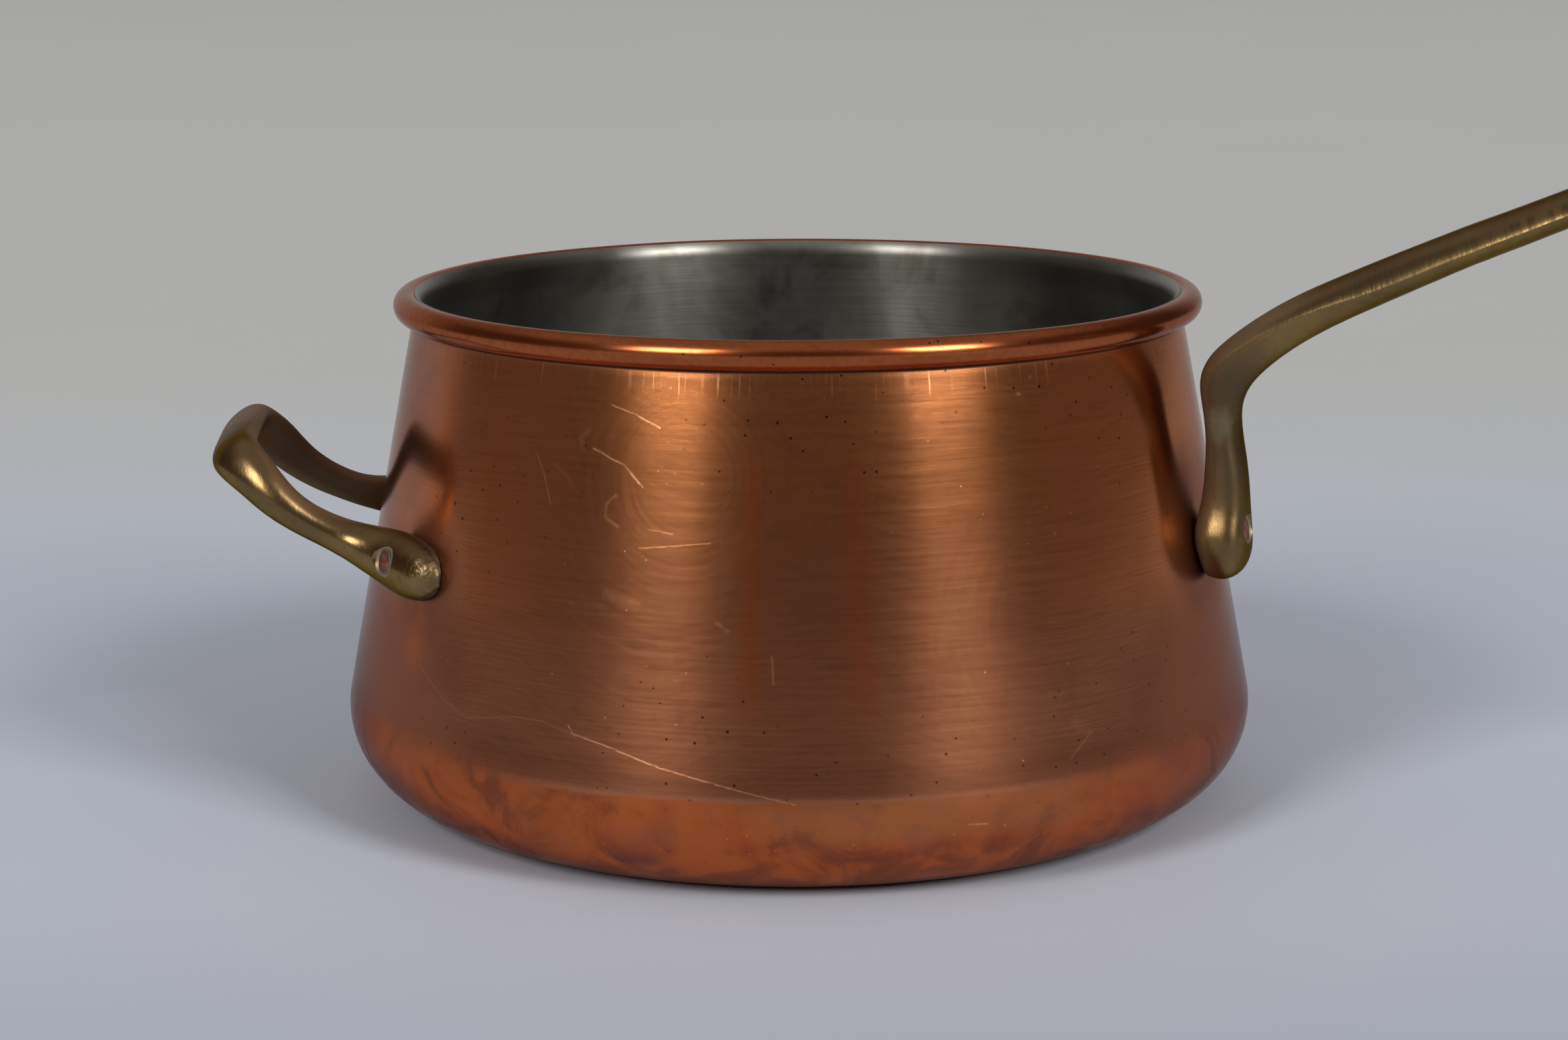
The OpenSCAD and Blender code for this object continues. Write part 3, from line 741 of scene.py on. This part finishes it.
    dust = t.voro(t.vm("ADD", t.p, (7.0, 3.0, 1.0)), 0.30)
    dust = t.mul(t.step(dust.outputs["Distance"], 0.09, 0.035), t.step(cloud3, 0.44, 0.6, 0.0, 0.42))
    marks = t.mx(marks, t.mul(dust, t.inv(bead)))
    col = t.mix(marks, col, (0.93, 0.47, 0.26))
    # pits
    v = t.voro(sz, 0.12)
    v.voronoi_dimensions = "2D"
    size = t.add(0.0008, t.mul(t.noise(t.p, 0.05, 1.0), 0.052))
    pit = t.step(t.ma("SUBTRACT", v.outputs["Distance"], size), 0.006, 0.0)
    keep = t.step(t.noise(t.vm("ADD", t.p, (5.0, 60.0, 9.0)), 0.02, 1.0), 0.42, 0.54)
    pit = t.mul(pit, keep)
    col = t.mix(t.mul(pit, t.step(z, 22.0, 30.0, 0.25, 0.85)), col, (0.035, 0.02, 0.015))
    rough = t.add(t.add(t.step(z, 80.0, 40.0, 0.172, 0.192), t.step(z, 92.0, 112.0, 0.0, 0.010)), t.add(t.mul(t.sub(lines, 0.5), 0.07), t.mul(t.sub(cloud, 0.5), 0.06)))
    rough = t.lerp(foot, rough, t.add(0.215, t.mul(stain, 0.12)))
    rough = t.lerp(bead, rough, t.add(0.17, t.mul(grain, 0.09)))
    rough = t.lerp(marks, rough, 0.42)
    rough = t.lerp(dirt, rough, 0.65)
    # round the handle fixings the wall is rougher, and darkened with painted shade
    near = t.mx(t.step(t.vm("DISTANCE", sz, (123.0, 74.0, 0.0)), 26.0, 12.0),
                t.step(t.vm("DISTANCE", sz, (-102.0, 67.0, 0.0)), 19.0, 8.0))
    near = t.mul(near, t.step(cloud2, 0.3, 0.6, 0.6, 1.0))
    col = t.mix(t.mul(near, 0.5), col, (0.25, 0.11, 0.07))
    rough = t.lerp(near, rough, 0.42)
    t.set(Base_Color=col, Metallic=1.0, Roughness=rough)
    t.set(Anisotropic=0.5, Anisotropic_Rotation=0.25, Tangent=t.tangent(), Specular_Tint=(0.70, 0.62, 0.60))
    h = t.add(lines, t.mul(pit, -0.6))
    big = t.noise(t.p, 0.03, 2.0)
    n0 = t.bump(big, 0.25, 0.0004)
    t.set(Normal=t.bump(h, 0.030, 0.0004, n0))
    return t.mat


def tin_material():
    t = Tree("tin_wiped")
    x, y, z = t.x, t.y, t.z
    l1 = t.noise(t.vec(t.mul(x, 0.03), t.mul(y, 0.03), t.mul(z, 1.2)), 1.0, 3.0, 0.6)
    cloud = t.noise(t.p, 0.022, 5.0, 0.62, 0.6)
    blot = t.noise(t.vm("ADD", t.p, (12.0, 30.0, 50.0)), 0.045, 4.0, 0.6, 0.5)
    col = t.mix(t.step(cloud, 0.35, 0.68), (0.258, 0.254, 0.233), (0.345, 0.342, 0.324))
    col = t.mix(t.mul(t.step(blot, 0.50, 0.68), 0.6), col, (0.13, 0.118, 0.092))
    col = t.mix(t.mul(t.step(l1, 0.5, 0.7), 0.1), col, (0.42, 0.41, 0.385))
    q = t.add(t.mul(x, math.cos(rad(23.0))), t.mul(y, math.sin(rad(23.0))))
    # painted shade: the lining is darkened on its right-hand side (+q), to dim the highlight there
    col = t.mix(t.mul(t.step(t.add(q, t.mul(t.sub(cloud, 0.5), 30.0)), 0.0, 42.0), 0.15), col, (0.15, 0.142, 0.115))
    # painted shade: the top of the lining is darkened at its left and right ends, over the pale reflection there
    lip_shade = t.mul(t.step(z, 116.0, 120.0), t.step(t.ma("ABSOLUTE", q), 40.0, 64.0))
    col = t.mix(t.mul(lip_shade, 0.35), col, (0.10, 0.09, 0.07))
    rough = t.add(0.392, t.add(t.mul(t.sub(cloud, 0.5), 0.2), t.mul(t.sub(l1, 0.5), 0.06)))
    t.set(Base_Color=col, Metallic=1.0, Roughness=rough)
    t.set(Anisotropic=0.8, Anisotropic_Rotation=0.25, Tangent=t.tangent())
    t.set(Normal=t.bump(t.add(l1, t.mul(blot, 0.6)), 0.12, 0.0004))
    return t.mat


RIVETS = ((0.0, HANDLE_Z), (HELPER_AZ + RIVET_HALF, HELPER_Z), (HELPER_AZ - RIVET_HALF, HELPER_Z))


def brass_material():
    t = Tree("brass_aged")
    x, y, z = t.x, t.y, t.z
    rr = t.ma("SQRT", t.add(t.mul(x, x), t.mul(y, y)))
    gap = t.ma("DIVIDE", t.sub(t.add(rr, t.mul(z, m)), k_at(0)), sec)   # distance from the wall
    cloud = t.noise(t.p, 0.05, 4.0, 0.6, 0.3)
    fine = t.noise(t.p, 0.45, 4.0, 0.65)
    # file marks across the stem
    u, v = t.add(t.mul(x, 0.92), t.mul(z, 0.39)), t.sub(t.mul(z, 0.92), t.mul(x, 0.39))
    file = t.noise(t.vec(t.mul(u, 0.85), t.mul(y, 0.14), t.mul(v, 0.14)), 1.0, 3.0, 0.6)
    col = t.mix(t.step(cloud, 0.35, 0.68), (0.295, 0.195, 0.074), (0.202, 0.138, 0.060))
    col = t.mix(t.mul(t.step(fine, 0.5, 0.72), 0.35), col, (0.125, 0.09, 0.046))
    col = t.mix(t.mul(t.step(file, 0.55, 0.75), 0.18), col, (0.42, 0.30, 0.115))
    # the far half of the loop is darker, rougher and less metallic
    hc, hs = math.cos(rad(HELPER_AZ)), math.sin(rad(HELPER_AZ))
    along, across = t.add(t.mul(x, hc), t.mul(y, hs)), t.sub(t.mul(y, hc), t.mul(x, hs))
    dull = t.mul(t.step(along, 60.0, 90.0), t.step(across, 16.0, -12.0))
    col = t.mix(t.mul(dull, 0.8), col, (0.098, 0.067, 0.033))
    # the upper neck is darker and rougher
    neck_darker = t.step(t.vm("DISTANCE", t.p, (113.0, 0.0, 97.0)), 25.0, 12.0)
    col = t.mix(t.mul(neck_darker, 0.72), col, (0.105, 0.075, 0.042))
    g = t.nt.nodes.new("ShaderNodeNewGeometry")
    # painted shade: faces turned towards the pan wall are darkened, and made rougher and less metallic
    wall_side_shade = t.ma("DIVIDE", t.vm("DOT_PRODUCT", g.outputs["Normal"], t.vec(x, y, 0.0)), rr)
    wall_side_shade = t.mul(t.step(wall_side_shade, 0.05, -0.4), t.step(gap, 42.0, 26.0))
    col = t.mix(t.mul(wall_side_shade, 0.7), col, (0.085, 0.062, 0.035))
    # painted reflection: faces turned upwards get a brown tint, standing in for the dim reflection from above
    crown = t.step(t.vm("DOT_PRODUCT", g.outputs["Normal"], (0.0, 0.0, 1.0)), 0.15, 0.65)
    col = t.mix(t.mul(crown, 0.55), col, (0.200, 0.117, 0.066))
    # painted shade: the ridge of the stem is darkened, fully near the neck and in dashes further out, to break up its
    # highlight; the same mask roughens it
    ridge_dashes = t.noise(t.vec(t.mul(u, 0.3), 2.0, 0.0), 1.0, 2.0, 0.6)
    ridge_dashes = t.mul(t.step(x, 116.0, 126.0), t.mx(t.step(x, 184.0, 160.0), t.step(ridge_dashes, 0.56, 0.44)))
    edge = t.step(t.ma("ABSOLUTE", t.vm("DOT_PRODUCT", g.outputs["Normal"], (0.0, 1.0, 0.0))), 0.66, 0.82)
    edge = t.mul(edge, t.step(t.vm("DOT_PRODUCT", g.outputs["Normal"], (0.0, 0.0, 1.0)), 0.02, 0.2))
    col = t.mix(t.mul(t.mul(edge, ridge_dashes), 0.7), col, (0.085, 0.06, 0.03))
    # green in the neck, black-green where the brass meets the wall
    neck = t.vm("DISTANCE", t.p, (109.0, -5.5, 99.5))
    neck = t.step(t.add(neck, t.mul(t.sub(fine, 0.5), 6.0)), 6.0, 1.5)
    col = t.mix(t.mul(t.mul(neck, t.step(fine, 0.35, 0.6)), 0.6), col, (0.115, 0.145, 0.115))
    green = t.mul(t.step(gap, 2.0, 0.2), t.step(z, 112.0, 104.0))
    shade = t.mx(t.step(gap, 6.0, 1.2), t.mul(t.step(gap, 12.5, 7.0), t.step(z, 94.0, 104.0)))
    shade = t.mul(shade, t.step(z, 125.0, 116.0))
    col = t.mix(t.mul(shade, 0.5), col, (0.115, 0.080, 0.048))
    col = t.mix(t.mul(green, t.step(fine, 0.3, 0.6, 0.35, 0.9)), col, (0.06, 0.064, 0.045))
    # pale rings round the rivets, pale dirt at the tip of the near boss
    ring = None
    for a, h in RIVETS:
        M = on_wall(a, h)
        d = t.vm("LENGTH", t.vm("CROSS_PRODUCT", t.vm("SUBTRACT", t.p, tuple(M.translation)), tuple(M.col[2])[:3]))
        k = t.mul(t.step(d, 2.9, 3.1), t.step(t.add(d, t.mul(t.sub(fine, 0.5), 0.2)), 3.75, 3.4))
        ring = k if ring is None else t.mx(ring, k)
    ring = t.mul(ring, t.step(gap, 3.0, 4.0))
    a = rad(HELPER_AZ + RIVET_HALF + 6.8)
    tip = t.vm("DISTANCE", t.p, (107.4 * math.cos(a), 107.4 * math.sin(a), HELPER_Z - 0.5))
    crust = t.mul(t.step(tip, 6.5, 3.0), t.step(t.add(fine, t.mul(t.step(gap, 2.0, 0.4), 0.12)), 0.52, 0.62))
    pale = t.mx(t.mul(ring, 0.6), t.mul(crust, 0.35))
    col = t.mix(pale, col, (0.29, 0.265, 0.21))
    rough = t.add(0.262, t.add(t.mul(t.sub(cloud, 0.5), 0.14), t.mul(t.sub(fine, 0.5), 0.12)))
    rough = t.add(rough, t.mul(t.mul(t.step(x, 94.0, 100.0), t.step(z, 94.0, 84.0)), 0.048))
    rough = t.lerp(t.mul(ridge_dashes, 0.35), rough, 0.40)
    rough = t.lerp(t.mx(t.mx(dull, shade), t.mul(neck_darker, 0.7)), rough, 0.44)
    rough = t.lerp(wall_side_shade, rough, 0.58)
    rough = t.lerp(t.mx(green, t.mx(neck, pale)), rough, 0.6)
    t.set(Base_Color=col, Metallic=t.sub(1.0, t.mul(t.mx(t.mx(pale, t.mul(neck, 0.6)), t.mx(t.mul(dull, 0.8), t.mul(wall_side_shade, 0.7))), 0.7)), Roughness=rough)
    t.set(Specular_Tint=(0.40, 0.36, 0.29))
    n0 = t.bump(t.add(t.mul(fine, 0.5), cloud), 0.12, 0.0006)
    n0 = t.bump(t.mul(t.noise(t.p, 0.35, 2.0), t.step(tip, 9.0, 4.0)), 0.8, 0.0009, n0)
    t.set(Normal=t.bump(file, 0.16, 0.0003, n0))
    return t.mat


def rivet_material():
    t = Tree("rivet_copper")
    n = t.noise(t.p, 0.8, 4.0, 0.6)
    d = None
    for a, h in RIVETS:
        M = on_wall(a, h)
        e = t.vm("LENGTH", t.vm("CROSS_PRODUCT", t.vm("SUBTRACT", t.p, tuple(M.translation)), tuple(M.col[2])[:3]))
        d = e if d is None else t.mn(d, e)
    e = t.add(d, t.mul(t.sub(n, 0.5), 0.25))
    col = t.mix(t.step(n, 0.35, 0.7), (0.44, 0.145, 0.085), (0.24, 0.085, 0.055))
    # hammered edge, packed with pale dirt
    edge = t.step(e, 2.35, 2.6)
    col = t.mix(edge, col, (0.135, 0.110, 0.080))
    line = t.mul(t.step(e, 2.1, 2.3), t.step(e, 2.6, 2.4))
    col = t.mix(t.mul(line, 0.7), col, (0.06, 0.04, 0.03))
    t.set(Base_Color=col, Metallic=t.sub(1.0, t.mul(edge, 0.6)), Roughness=t.add(t.add(0.25, t.mul(n, 0.2)), t.mul(edge, 0.2)))
    t.set(Normal=t.bump(n, 0.3, 0.0003))
    return t.mat


def wire_material():
    t = Tree("wire_iron")
    n = t.noise(t.p, 0.3, 4.0, 0.6)
    t.set(Base_Color=t.mix(n, (0.20, 0.19, 0.18), (0.28, 0.20, 0.15)), Metallic=1.0, Roughness=t.add(0.4, t.mul(n, 0.2)))
    t.set(Normal=t.bump(n, 0.2, 0.0003))
    return t.mat


def floor_material():
    t = Tree("floor_pale")
    n = t.noise(t.p, 0.004, 4.0, 0.6)
    b = rad(FACING)
    far = t.step(t.vm("DOT_PRODUCT", t.p, (-math.cos(b), -math.sin(b), 0.0)), 150.0, 700.0)
    near = t.mix(n, (0.505, 0.565, 0.695), (0.537, 0.598, 0.73))
    # painted shade: the floor is darker towards the camera
    front_shade = t.step(t.vm("DOT_PRODUCT", t.p, (math.cos(b), math.sin(b), 0.0)), 70.0, 260.0)
    near = t.mix(front_shade, near, (0.435, 0.492, 0.615))
    t.set(Base_Color=t.mix(far, near, t.mix(n, (0.515, 0.535, 0.560), (0.545, 0.565, 0.588))), Roughness=0.75)
    t.set(Normal=t.bump(t.noise(t.p, 0.5, 3.0), 0.05, 0.0003))
    return t.mat


COPPER, TIN, BRASS, RIVET, WIRE = (copper_material(), tin_material(), brass_material(), rivet_material(),
                                   wire_material())


def dress(o, mats, node):
    o.data.materials.clear()
    for k in mats:
        o.data.materials.append(k)
    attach(o, "root")
    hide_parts(node)


dress(pan, [COPPER], "copper_body")
dress(tin, [TIN], "tin_lining")
dress(long_handle, [BRASS], "long_handle")
dress(helper, [BRASS], "helper_handle")
dress(riv_long, [RIVET, TIN], "long_handle_rivet")
dress(riv_front, [RIVET, TIN], "helper_rivet_front")
dress(riv_rear, [RIVET, TIN], "helper_rivet_rear")
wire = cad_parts["rim_wire"]
wire.data.materials.clear()
wire.data.materials.append(WIRE)

# ---------------------------------------------------------------------------
# Floor, light, camera
# ---------------------------------------------------------------------------
n = 96
fv = [(0.0, 0.0, -0.02)] + [(9000 * math.cos(2 * math.pi * i / n), 9000 * math.sin(2 * math.pi * i / n), -0.02) for i in range(n)]
floor = make("floor", fv, [(0, 1 + i, 1 + (i + 1) % n) for i in range(n)])
floor.data.materials.append(floor_material())

PHI = 23.0


def turn(v):
    """From the photo's frame, camera on -Y, to the part's frame."""
    return Matrix.Rotation(rad(PHI), 3, "Z") @ Vector(v)


CAM_D, CAM_H, PITCH, FPX, ROLL, YAW = 819.36, 233.69, 0.20058, 5000.0, -0.0048, -0.0044
fwd = Vector((math.sin(YAW) * math.cos(PITCH), math.cos(YAW) * math.cos(PITCH), -math.sin(PITCH)))
rt = Vector((math.cos(YAW), -math.sin(YAW), 0))
up = rt.cross(fwd)
rt2 = rt * math.cos(ROLL) + up * math.sin(ROLL)
up2 = -rt * math.sin(ROLL) + up * math.cos(ROLL)
cd = bpy.data.cameras.new("camera")
cd.sensor_width = 36.0
cd.lens = FPX * 36.0 / 2363.0
cam = bpy.data.objects.new("camera", cd)
scene.collection.objects.link(cam)
R = Matrix((turn(rt2), turn(up2), turn(-fwd))).transposed().to_4x4()
R.translation = turn((0, -CAM_D, CAM_H)) * MM
cam.matrix_world = R
scene.camera = cam


def window(name, az, el, dist, w, h, power, color):
    """A soft window: az from the camera's direction, positive to its right, el above the horizon."""
    d = Vector((math.sin(rad(az)) * math.cos(rad(el)), -math.cos(rad(az)) * math.cos(rad(el)), math.sin(rad(el))))
    ld = bpy.data.lights.new(name, "AREA")
    ld.shape, ld.size, ld.size_y = "RECTANGLE", w, h
    ld.energy, ld.color = power, color
    o = bpy.data.objects.new(name, ld)
    scene.collection.objects.link(o)
    pos = turn(d) * dist
    o.location = pos
    o.rotation_mode = "QUATERNION"
    o.rotation_quaternion = (Vector((0, 0, 0.06)) - pos).to_track_quat("-Z", "Y")
    return o


window("window_left", -37.5, 31.0, 40.0, 12.6, 16.4, 8000, (1.0, 0.965, 0.9))
window("window_right", 43.5, 31.0, 40.0, 12.6, 16.4, 9500, (1.0, 0.965, 0.9))

world = bpy.data.worlds.new("studio")
scene.world = world
world.use_nodes = True
wt = world.node_tree
wt.nodes.clear()
wo = wt.nodes.new("ShaderNodeOutputWorld")
bg = wt.nodes.new("ShaderNodeBackground")
wt.links.new(bg.outputs[0], wo.inputs[0])
tc = wt.nodes.new("ShaderNodeTexCoord")
dot = wt.nodes.new("ShaderNodeVectorMath")
dot.operation = "DOT_PRODUCT"
wt.links.new(tc.outputs["Generated"], dot.inputs[0])
dot.inputs[1].default_value = turn((-0.24, 0.97, 0.0))
mr = wt.nodes.new("ShaderNodeMapRange")
mr.interpolation_type = "SMOOTHSTEP"
wt.links.new(dot.outputs["Value"], mr.inputs["Value"])
mr.inputs["From Min"].default_value, mr.inputs["From Max"].default_value = 0.5, 0.95
sx = wt.nodes.new("ShaderNodeSeparateXYZ")
wt.links.new(tc.outputs["Generated"], sx.inputs[0])
low = wt.nodes.new("ShaderNodeMapRange")
low.interpolation_type = "SMOOTHSTEP"
wt.links.new(sx.outputs[2], low.inputs["Value"])
low.inputs["From Min"].default_value, low.inputs["From Max"].default_value = 0.20, 0.65
low.inputs["To Min"].default_value, low.inputs["To Max"].default_value = 1.0, 0.45
both = wt.nodes.new("ShaderNodeMath")
both.operation = "MULTIPLY"
wt.links.new(mr.outputs["Result"], both.inputs[0])
wt.links.new(low.outputs["Result"], both.inputs[1])
ramp = wt.nodes.new("ShaderNodeMix")
ramp.data_type = "RGBA"
wt.links.new(both.outputs[0], ramp.inputs["Factor"])
ramp.inputs[6].default_value = (0.085, 0.068, 0.063, 1)
ramp.inputs[7].default_value = (0.46, 0.455, 0.45, 1)
top = wt.nodes.new("ShaderNodeMapRange")
top.interpolation_type = "SMOOTHSTEP"
wt.links.new(sx.outputs[2], top.inputs["Value"])
top.inputs["From Min"].default_value, top.inputs["From Max"].default_value = 0.45, 0.85
ramp2 = wt.nodes.new("ShaderNodeMix")
ramp2.data_type = "RGBA"
wt.links.new(top.outputs["Result"], ramp2.inputs["Factor"])
wt.links.new(ramp.outputs[2], ramp2.inputs[6])
ramp2.inputs[7].default_value = (0.36, 0.35, 0.338, 1)
wt.links.new(ramp2.outputs[2], bg.inputs[0])
bg.inputs[1].default_value = 1.0
